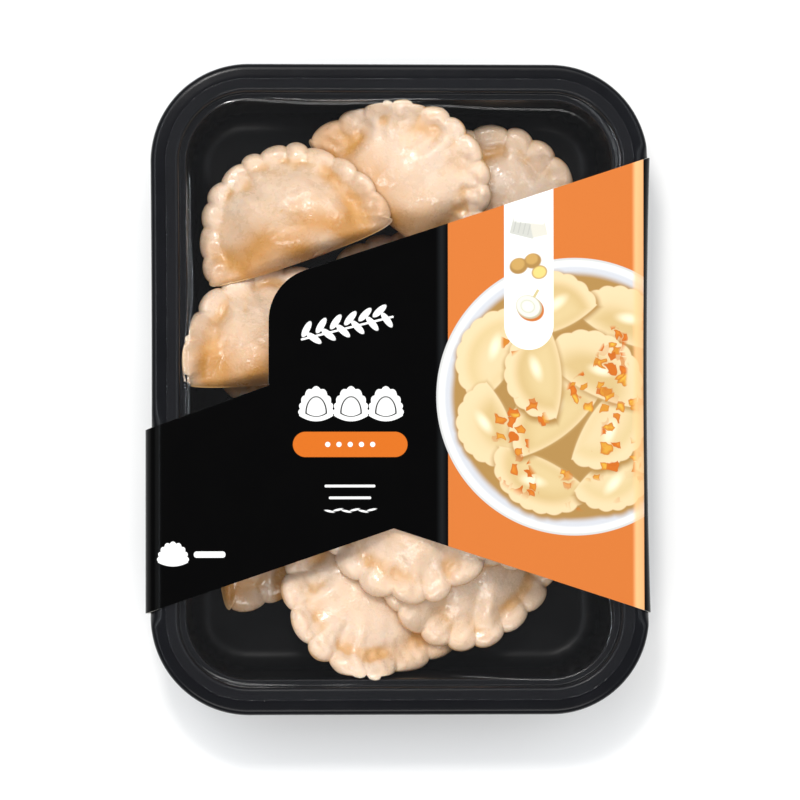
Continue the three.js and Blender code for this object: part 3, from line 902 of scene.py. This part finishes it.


# %% [markdown]
# ### Dough finish
#
# Cooked dough is cream with a pink cast. Shade is painted into it as a deeper, more golden colour
# in creases and hollows, along the fold side, which turns away from the light, and where dumplings
# touch or lie under a neighbour. Light enters it, so it has subsurface scattering of a few millimetres,
# and a thin film of moisture gives small sharp highlights over a softer sheen. The painted shade of
# creases and fold comes with the mesh as two point attributes, because it follows the shape.

# %% Dough finish
dough, graph, shader = material("cooked_dough")
# The two masks of painted shade that the mesh carries: one in hollows, one along the fold, the groove and
# under neighbours.
drawn_in = graph.node("ShaderNodeAttribute", output=2, settings={"attribute_name": "drawn_in"})
golden = graph.node("ShaderNodeAttribute", output=2, settings={"attribute_name": "golden"})
tone = graph.use(MOTTLE, Patch=0.014, Contrast=2.0)
blush = graph.use(MOTTLE, Patch=0.03, Contrast=2.6)
pale = graph.mix(tone, (0.625, 0.455, 0.322), (0.665, 0.54, 0.445))
warm = graph.mix(blush * 0.45, pale, (0.66, 0.41, 0.21))
# Painted shade: golden brown along the fold, in the groove and under neighbours, and a deeper brown in
# hollows.
painted_shade = graph.mix(golden * 0.95, warm, (0.47, 0.215, 0.045))
hollow_shade_mix = graph.stretch(drawn_in, 0.03, 0.9, 0.0, 0.65, smooth=True)
wet = graph.use(MOTTLE, Patch=0.006, Contrast=4.0)
graph.fill(shader, Base_Color=graph.mix(hollow_shade_mix, painted_shade, (0.55, 0.28, 0.08)),
           Subsurface_Weight=0.35, Subsurface_Radius=(1.0, 0.45, 0.2), Subsurface_Scale=0.004,
           Roughness=graph.stretch(wet, 0.35, 0.65, 0.5, 0.17, smooth=True),
           Coat_Weight=graph.stretch(wet, 0.5, 0.75, 0.0, 0.6, smooth=True), Coat_Roughness=0.1,
           Normal=relief(graph, 0.0009, 0.35, 0.48, 0.0006))

# %% Make the heap
def paint(made, name, values, edge, below):
    """Stores a mask on a dumpling: its top side's values, and its edge's below."""
    under = np.tile(edge, len(below) - 1)
    mask = np.concatenate([values[::-1].ravel(), under, [values[-1].mean(), edge.mean()]])
    made.data.attributes.new(name, "FLOAT", "POINT").data.foreach_set("value", mask)


laid = []
for index, (name, (spot, faces, half, depth, count, lean, crimp_up, end_up)) in enumerate(HEAP.items()):
    rng = np.random.default_rng(40 + index)
    top, below, drawn_in, golden, softness = flat_dumpling(half, depth, count, lean, rng)
    top, below = lay_down(top, below, softness, spot, faces, crimp_up, end_up)
    record_top(top)
    rings = np.concatenate([top[::-1], below[1:]])
    made = piece(f"{name}_dough", *skin(rings), [dough], name, "dough")
    paint(made, "drawn_in", drawn_in, 0 * drawn_in[0], below)
    laid.append((made, top, below, golden))

# Painted shade where a neighbour lies higher: the heap's map, blurred, above each dumpling's top side.
around = heap_top.copy()
for _ in range(NEARBY_PASSES):
    around = sum(np.roll(around, way, axis) for axis in (0, 1) for way in (1, -1)) / 4
for made, top, below, golden in laid:
    neighbour_shade = smoothstep(1, 9, around[cells(top[..., 0], top[..., 1])] - top[..., 2])
    painted_shade = np.clip(golden + CONTACT_SHADE * neighbour_shade, 0, 1)
    paint(made, "golden", painted_shade, painted_shade[0], below)
print("deepest cover:", round(float((around - heap_top).max()), 1), "mm")

# %% [markdown]
# ## Lid film
#
# A clear film, welded to the flange and stretched over the tray. It never lies quite flat: small
# ripples run along the tray's inner edge, where it bridges from the flange to the food, and show as
# thin bright lines. The film follows the same outline as the tray, ring by ring, and its rings are
# close together where the ripples are.

# %% Film shape
RIPPLES = ((10.8, 0.34, 0.7), (12.9, 0.3, 0.7), (15.4, 0.22, 0.8))  # inset, height, half width
RIPPLED_TO = 20  # inset up to which the rings are close together
FILM_RINGS = np.concatenate([np.linspace(FILM_INSET, RIPPLED_TO, 60),
                             np.linspace(RIPPLED_TO + 1.5, 70, 34)])
FILM_SHEET = 0.06  # a film's real thickness
RIPPLE_PHASES = (0.4, 2.1, 4.4)


def ripple_height(ring, inset):
    """Height of the ripples at a ring, strong in places and gone in others."""
    x, y = ring[:, 0], ring[:, 1]
    total = np.zeros(len(ring))
    for k, (middle, height, width) in enumerate(RIPPLES):
        wander = 0.7 * np.sin(0.045 * x + 0.06 * y + RIPPLE_PHASES[k]) + 0.35 * np.sin(0.16 * y - 0.1 * x + k)
        strength = smoothstep(-0.2, 0.9, np.sin(0.028 * x - 0.021 * y + 2 * RIPPLE_PHASES[k]))
        strength *= 0.6 + 0.4 * smoothstep(-80, 40, y - 0.4 * x)
        total += height * strength * np.exp(-(((inset - middle - wander) / width) ** 2))
    slack = 0.12 * np.sin(0.07 * x + 0.03 * y) * np.sin(0.05 * y - 0.04 * x) * smoothstep(9, 30, inset)
    return -total - np.abs(slack)


film_rings = []
for inset in FILM_RINGS:
    ring = tray_ring(inset, FILM_BASE + FILM_THICKNESS, corner_steps=40, side_steps=60)
    ring[:, 2] += ripple_height(ring, inset) * smoothstep(FLANGE - 0.5, FLANGE + 0.5, inset)
    film_rings.append(ring)
film_rings = film_rings[::-1] + [ring - [0, 0, FILM_SHEET] for ring in film_rings]

# %% [markdown]
# Film this thin has no colour of its own. It lets nearly all light through and mirrors a little, so
# its shader is a mirror with very low alpha.

# %% Film finish
clear_film, graph, shader = material("clear_film")
graph.fill(shader, Base_Color=(0.97, 0.98, 1.0), Metallic=1.0, Roughness=0.1, Alpha=0.014)
piece("lid_film", *skin(film_rings), [clear_film], "film", "film")

# %% [markdown]
# ## Carton sleeve
#
# The sleeve is a band of printed board, folded round the pack. Its section is a closed line with
# four rounded folds, and its two ends are cut. They are straight on the sides and underside. On the
# top panel the upper end is a slanting line with a step, and the lower end a shallow chevron. So each
# point of the section is drawn out into a row of points from one cut edge to the other, outside and
# inside.

# %% Sleeve sizes
SLEEVE_HALF = 90.2
BASE_HALF = 75.0
UPPER_FOLD = 6.3
LOWER_FOLD = 2.5
RIGHT_BOW = 1.2

CUT_STEP_X = -46.5
CUT_STEP_FOOT = 1.2
CUT_FILLET = 19.0
CUT_SLOPE = 0.3286
CHEVRON_X = -2.0
CHEVRON_TOP = -49.7
ROWS = 48
CRISP = 0.12  # rows this near a cut keep its edge sharp


# %% Cut edges
def slant_at(x):
    return CUT_RIGHT_TOP + CUT_SLOPE * (x - SLEEVE_HALF)


def upper_cut(x):
    """The upper cut edge of the top panel."""
    if x < CUT_STEP_X:
        part = (x + SLEEVE_HALF) / (CUT_STEP_X + SLEEVE_HALF)
        return CUT_LEFT_TOP + part * (CUT_STEP_FOOT - CUT_LEFT_TOP)
    angle = math.atan(CUT_SLOPE)
    middle_x = CUT_STEP_X + CUT_FILLET
    middle_y = slant_at(middle_x) - CUT_FILLET / math.cos(angle)
    if x > middle_x - CUT_FILLET * math.sin(angle):
        return slant_at(x)
    return middle_y + math.sqrt(max(0.0, CUT_FILLET ** 2 - (x - middle_x) ** 2))


def lower_cut(x):
    """The lower cut edge of the top panel."""
    side = -SLEEVE_HALF if x < CHEVRON_X else SLEEVE_HALF
    return CHEVRON_TOP + (x - CHEVRON_X) / (side - CHEVRON_X) * (CUT_FOOT - CHEVRON_TOP)


# %% Sleeve section
def fold(x, z, radius, start, end, steps):
    """Points of a rounded fold with their outward directions."""
    angles = np.linspace(start, end, steps + 1)
    return [(x + radius * math.cos(a), z + radius * math.sin(a), math.cos(a), math.sin(a)) for a in angles]


def top_stations():
    """Places across the top panel, right to left, closer together where an edge bends."""
    inner = SLEEVE_HALF - UPPER_FOLD
    even = list(np.linspace(inner - 3, 3 - inner, 52))
    turns = [CUT_STEP_X + CUT_FILLET * (1 - math.cos(a)) for a in np.linspace(0, math.pi / 2, 16)]
    return sorted([*even, *turns, CHEVRON_X, CUT_STEP_X - 0.05], reverse=True)


def sleeve_section():
    lean = math.atan2(SLEEVE_HALF - BASE_HALF, SLEEVE_TOP - UPPER_FOLD - LOWER_FOLD)
    quarter, half = math.pi / 2, math.pi
    upper_x, upper_z = SLEEVE_HALF - UPPER_FOLD, SLEEVE_TOP - UPPER_FOLD
    lower_x = BASE_HALF - LOWER_FOLD
    section = fold(lower_x, LOWER_FOLD, LOWER_FOLD, -quarter, -lean, 6)
    section += fold(upper_x, upper_z, UPPER_FOLD, -lean, quarter, 18)
    section += [(x, SLEEVE_TOP, 0.0, 1.0) for x in top_stations()]
    section += fold(-upper_x, upper_z, UPPER_FOLD, quarter, half + lean, 18)
    section += fold(-lower_x, LOWER_FOLD, LOWER_FOLD, half + lean, half + quarter, 6)
    return section


def bow_at(x, y):
    """The right fold is drawn in towards its middle."""
    along = 2 * (y - CUT_FOOT) / (CUT_RIGHT_TOP - CUT_FOOT) - 1
    return RIGHT_BOW * smoothstep(BASE_HALF, SLEEVE_HALF, x) * np.clip(1 - along ** 2, 0, None)


def sleeve_rings():
    rings = []
    for x, z, nx, nz in sleeve_section():
        on_top = z > SLEEVE_TOP - UPPER_FOLD
        plain = CUT_LEFT_TOP + (x + SLEEVE_HALF) / (2 * SLEEVE_HALF) * (CUT_RIGHT_TOP - CUT_LEFT_TOP)
        first, last = (lower_cut(x), upper_cut(x)) if on_top else (CUT_FOOT, plain)
        y = np.concatenate([[first], np.linspace(first + CRISP, last - CRISP, ROWS - 2), [last]])
        outer = np.stack([x - bow_at(x, y), y, np.full(ROWS, z)], axis=1)
        inner = outer - BOARD * np.array([nx, 0, nz])
        rings.append(np.concatenate([outer, inner[::-1]]))
    return np.array(rings)


rings = sleeve_rings()
points, faces = skin(rings, goes_round=True)
strip = 2 * ROWS
board_face = [0 if i % strip < ROWS - 1 else 1 for i in range(len(faces))]
print("sleeve rings:", rings.shape)

# %% [markdown]
# ### Print
#
# The print is fields of colour and simple shapes. Each shape is a mask worked out from the place on
# the board in millimetres, so its edge stays crisp at any distance, and the masks are laid over each
# other like inks. Three small groups make every shape: an ellipse, a box with round corners, and a
# half moon, whose edge can be scalloped.


# %% Shape groups
def length_of(graph, x, y):
    return graph.math("SQRT", x * x + y * y)


def ellipse_distance(graph, given, x, y):
    """About how far outside an ellipse a place is."""
    smaller = graph.math("MINIMUM", given["Half Width"], given["Half Height"])
    return (length_of(graph, x / given["Half Width"], y / given["Half Height"]) - 1.0) * smaller


def box_distance(graph, given, x, y):
    over_x = graph.math("ABSOLUTE", x) - given["Half Width"] + given["Corner"]
    over_y = graph.math("ABSOLUTE", y) - given["Half Height"] + given["Corner"]
    outside = length_of(graph, graph.math("MAXIMUM", over_x, 0.0), graph.math("MAXIMUM", over_y, 0.0))
    return outside + graph.math("MINIMUM", graph.math("MAXIMUM", over_x, over_y), 0.0) - given["Corner"]


def moon_distance(graph, given, x, y):
    """An ellipse with lobes, cut off along a fold that bulges a little."""
    lobes = graph.math("ABSOLUTE", graph.math("SINE", graph.math("ARCTAN2", y, x) * 9.0))
    round_part = ellipse_distance(graph, given, x, y) - lobes * given["Scallop"]
    across = x / given["Half Width"]
    folded = y * -1.0 - given["Half Height"] * (0.24 - across * across * 0.2)
    return graph.math("MAXIMUM", round_part, folded)


def shape_group(name, distance_at, **more):
    """A mask with a soft edge, from a formula for how far outside a shape a place is."""
    inputs = {"X": 0.0, "Y": 0.0, "Turn": 0.0, "Half Width": 1.0, "Half Height": 1.0, "Soft": 0.12}
    graph, given, mask = node_group(name, inputs | more, "Mask")
    x, y, _ = graph.place_in_mm()
    x, y = x - given["X"], y - given["Y"]
    turn = graph.math("RADIANS", given["Turn"])
    cos, sin = graph.math("COSINE", turn), graph.math("SINE", turn)
    distance = distance_at(graph, given, x * cos + y * sin, y * cos - x * sin)
    graph.put(mask, graph.stretch(distance, given["Soft"] * -1.0, given["Soft"], 1.0, 0.0, smooth=True))
    return graph.tree


ELLIPSE = shape_group("ellipse", ellipse_distance)
ROUND_BOX = shape_group("round_box", box_distance, Corner=1.0)
HALF_MOON = shape_group("half_moon", moon_distance, Scallop=0.0)
print("shape groups:", ELLIPSE.name, ROUND_BOX.name, HALF_MOON.name)

# %% Inks
BLACK = (0.0004, 0.0004, 0.0005)
ORANGE = (0.508, 0.144, 0.031)
PILL = (0.51, 0.12, 0.013)
WHITE = (0.8, 0.8, 0.79)
RIM_CREAM = (0.64, 0.5, 0.3)
BELLIES = ((0.56, 0.43, 0.22), (0.61, 0.48, 0.28), (0.51, 0.37, 0.17))
GLOSS = (0.74, 0.66, 0.48)
GRAVY = (0.33, 0.19, 0.06)
FRIED = (0.55, 0.15, 0.02)
GILDED = (0.62, 0.36, 0.05)
TAN = (0.33, 0.19, 0.06)
CHARRED = (0.42, 0.1, 0.015)
POTATO = (0.46, 0.28, 0.09)


class Print:
    """Inks laid over each other, each through a mask and through the window, if there is one."""

    def __init__(self, graph, ground):
        self.graph, self.colour, self.window = graph, ground, None

    def lay(self, mask, ink):
        if self.window is not None:
            mask = mask * self.window
        self.colour = self.graph.mix(mask, self.colour, ink)

    def mask(self, group, x, y, half_width, half_height, turn=0.0, soft=0.12, **more):
        return self.graph.use(group, X=x, Y=y, Turn=turn, Half_Width=half_width,
                              Half_Height=half_height, Soft=soft, **more)

    def ellipse(self, x, y, half_width, half_height, ink, **how):
        self.lay(self.mask(ELLIPSE, x, y, half_width, half_height, **how), ink)

    def box(self, x, y, half_width, half_height, ink, corner=1.0, **how):
        self.lay(self.mask(ROUND_BOX, x, y, half_width, half_height, Corner=corner, **how), ink)

    def moon(self, x, y, half_width, height, ink, scallop=0.0, **how):
        self.lay(self.mask(HALF_MOON, x, y, half_width, height, Scallop=scallop, **how), ink)


# %% [markdown]
# ### What is printed
#
# A black field with an orange field beside it, a white tab with three ingredients, a plate of
# half moons cut by the right fold, an orange pill, and a few white ornaments. Nothing is lettered.
# A lighter strip along the right fold is a painted highlight. Sides and underside are plain black, so
# the last ink covers what is below the folds.

# %% Printed fields
FIELD_EDGE = 17.4  # where black meets orange
ORANGE_END = 87.5
TAB_X, TAB_HALF, TAB_FOOT = 46.3, 8.8, 13.9
PLATE_X, PLATE_Y, PLATE_RADIUS = 62.7, -2.8, 49.5
PLATE_RINGS = ((0.0, (0.5, 0.5, 0.49), 0.12), (0.9, (0.7, 0.7, 0.67), 0.5), (2.9, (0.5, 0.51, 0.54), 0.8),
               (5.6, GRAVY, 1.4))  # distance in from the edge, ink, softness
FAR = 200  # past the ends of the board

printed, graph, shader = material("printed_board")
inks = Print(graph, BLACK)
inks.box(FIELD_EDGE - 2.2, 0, 1.0, FAR, (0.009, 0.01, 0.011), corner=0.1, soft=1.4)
inks.box((FIELD_EDGE + ORANGE_END) / 2, 0, (ORANGE_END - FIELD_EDGE) / 2, FAR, ORANGE, corner=0.1)
plate_window = inks.mask(ROUND_BOX, ORANGE_END - 50, 0.0, 50.0, FAR, Corner=0.1)
inks.window = plate_window
for inwards, ink, soft in PLATE_RINGS:
    inks.ellipse(PLATE_X, PLATE_Y, PLATE_RADIUS - inwards, PLATE_RADIUS - inwards, ink, soft=soft)

# %% Plate of half moons
RING_REACH = 28.5  # from the plate's middle to the fold of the outer half moons
RING_TURNS = (12, 57, 103, 152, 199, 247, 296, 338)
INNER_MOONS = ((57, -13, 17.5, 16.5, 38), (72, -11, 17.5, 16, 235),
               (68, 3, 19, 17, 331), (54, 6, 16.5, 16, 95))  # place, size, turn
serving = []
for turn in RING_TURNS:
    angle = math.radians(turn)
    serving.append((PLATE_X + RING_REACH * math.cos(angle), PLATE_Y + RING_REACH * math.sin(angle),
                    16.5 + 1.5 * math.sin(7 * turn), 15.5 + math.cos(5 * turn),
                    turn - 90 + 9 * math.sin(3 * turn)))
for i, (x, y, wide, high, turn) in enumerate([*serving, *INNER_MOONS]):
    inks.moon(x + 0.4, y - 1.0, wide + 1.0, high + 1.0, GRAVY, turn=turn, scallop=0.5, soft=1.5)
    inks.moon(x, y, wide, high, RIM_CREAM, turn=turn, scallop=0.7, soft=0.3)
    inks.moon(x, y, wide - 3.0, high - 3.6, BELLIES[i % 3], turn=turn, soft=2.2)
    inks.moon(x, y, wide - 6.5, high - 8.0, BELLIES[(i + 1) % 3], turn=turn, soft=3.0)
    angle = math.radians(turn + 70)
    glint_x, glint_y = x + 5.5 * math.cos(angle), y + 5.5 * math.sin(angle)
    inks.ellipse(glint_x, glint_y, 3.4, 1.5, GLOSS, turn=turn + 15, soft=1.4)

# %% Fried bits
place = graph.place()
clump = graph.noise(45.0, 1.0, 0.5)
ragged = graph.node("ShaderNodeTexNoise", place, output=1, Scale=260.0, Detail=1.0)
shifted = graph.node("ShaderNodeVectorMath", ragged, (0.005, 0.005, 0.0), place,
                     settings={"operation": "MULTIPLY_ADD"})
food = inks.mask(ELLIPSE, PLATE_X, PLATE_Y, PLATE_RADIUS - 10, PLATE_RADIUS - 10, soft=2.0)
for rate, limit in ((170.0, 0.5), (230.0, 0.49)):
    away = graph.node("ShaderNodeTexVoronoi", shifted, Scale=rate, settings={"distance": "CHEBYCHEV"})
    own_tone = graph.node("ShaderNodeSeparateColor", away.beside("Color"))
    fried = graph.mix(graph.stretch(own_tone, 0.35, 0.75), FRIED, GILDED)
    shaded = graph.mix(graph.stretch(away, 0.05, 0.3), fried, CHARRED)
    bits = graph.stretch(away, 0.24, 0.29, 1.0, 0.0) * graph.stretch(clump, limit, limit + 0.03)
    inks.lay(bits * food, shaded)

# %% Tab with ingredients
CHEESE = ((-1.9, 57.5, 4.4, 3.2, (0.47, 0.47, 0.43), 0.5, -14),
          (3.6, 57.2, 2.7, 2.9, (0.57, 0.55, 0.48), 0.4, 12),
          (0.2, 60.3, 5.6, 1.3, (0.64, 0.64, 0.6), 1.0, -5))  # place, half size, ink, corner, turn
POTATOES_Y = 43.4
POTATOES = ((-3.6, 0.4, 3.4, TAN), (1.4, 2.2, 3.2, TAN), (-3.9, 1.0, 2.4, POTATO),
            (1.1, 2.9, 2.2, POTATO), (3.8, -1.8, 2.9, TAN), (3.8, -1.8, 2.4, (0.66, 0.5, 0.17)))
ONION_Y = 29.2
ONION = ((0.6, -0.8, 5.0, (0.46, 0.14, 0.03)), (0, 0, 4.8, (0.42, 0.39, 0.28)),
         (-0.2, 0.2, 4.3, (0.64, 0.64, 0.56)), (-0.4, 0.2, 2.7, (0.5, 0.5, 0.4)),
         (-0.4, 0.2, 2.2, (0.66, 0.66, 0.58)))  # place from the tab's middle, half width, ink

inks.window = None
inks.box(TAB_X, TAB_FOOT + 60, TAB_HALF, 60, WHITE, corner=TAB_HALF)
for dx, y, wide, high, ink, corner, turn in CHEESE:
    inks.box(TAB_X + dx, y, wide, high, ink, corner=corner, turn=turn, soft=0.25)
for k in range(4):
    inks.box(TAB_X - 5.0 + 1.7 * k, 57.9 - 0.4 * k, 0.15, 2.0, (0.38, 0.38, 0.35), corner=0.1, turn=-14)
for dx, dy, size, ink in POTATOES:
    inks.ellipse(TAB_X + dx, POTATOES_Y + dy, size, 0.85 * size, ink, turn=20, soft=0.4)
for dx, dy, size, ink in ONION:
    inks.ellipse(TAB_X + dx, ONION_Y + dy, size, 0.86 * size, ink, turn=-25, soft=0.3)
inks.box(TAB_X + 2.6, 34.0, 0.5, 1.6, (0.5, 0.42, 0.22), corner=0.4, turn=-30)

# %% Ornaments on the black field
for k in range(6):
    inks.ellipse(-33 + 5.2 * k, 21.2 + 1.3 * k, 3.1, 1.15, WHITE, turn=62 - 4 * k)
    inks.ellipse(-30.4 + 5.2 * k, 18.0 + 1.3 * k, 3.1, 1.15, WHITE, turn=-34 - 4 * k)
inks.box(-18.5, 21.6, 17.0, 0.35, WHITE, corner=0.3, turn=14)
for k in range(3):
    x = -29.6 + 12.4 * k
    inks.moon(x, -9.3, 5.9, 9.4, WHITE, scallop=0.5)
    inks.moon(x, -8.6, 3.9, 6.0, BLACK, soft=0.2)
    inks.moon(x, -8.4, 3.3, 5.3, WHITE, soft=0.2)
inks.box(-17.5, -19.8, 20.4, 4.5, PILL, corner=4.5)
for k in range(5):
    inks.ellipse(-25.5 + 4 * k, -19.8, 0.9, 0.9, WHITE)
for k in range(2):
    inks.box(-17.6, -34.6 - 4.2 * k, 9.0 - 1.5 * k, 0.45, WHITE, corner=0.4)
for k in range(6):
    way = 1 if k % 2 else -1
    inks.ellipse(-24.9 + 3 * k, -43.3 + 0.25 * way, 1.7, 0.35, WHITE, turn=12 * way)
inks.moon(-80.5, -61.5, 5.2, 6.6, WHITE, scallop=0.5)
inks.box(-67.5, -58.9, 5.6, 1.1, WHITE, corner=1.0)

# %% Folds
# Painted highlight: a lighter orange strip along the right fold, where the fold catches the light.
fold_highlight = inks.mask(ROUND_BOX, ORANGE_END - 1.6, 0.0, 2.0, FAR, soft=1.0, Corner=0.1)
inks.lay(fold_highlight * plate_window * 0.75, (0.85, 0.48, 0.22))
_, _, height = graph.place_in_mm()
inks.lay(graph.stretch(height, SLEEVE_TOP - 2.2, SLEEVE_TOP - 1.8, 1.0, 0.0), BLACK)

# %% Board finish
tone = graph.use(MOTTLE, Patch=0.02, Contrast=0.5)
graph.fill(shader, Base_Color=graph.mix(tone * 0.004, inks.colour, (0.3, 0.28, 0.26)),
           Roughness=graph.stretch(tone, 0, 1, 0.18, 0.24), Specular_IOR_Level=0.05,
           Normal=relief(graph, 0.0006, 0.6, 0.08, 0.0003))

raw_board, graph, shader = material("raw_board")
tone = graph.use(MOTTLE, Patch=0.004, Contrast=2.0)
graph.fill(shader, Base_Color=graph.mix(tone, (0.5, 0.48, 0.44), (0.68, 0.66, 0.61)), Roughness=0.85,
           Normal=relief(graph, 0.0003, 0.3, 0.4, 0.0002))

piece("carton_sleeve", points, faces, [printed, raw_board], "sleeve", "card", board_face)
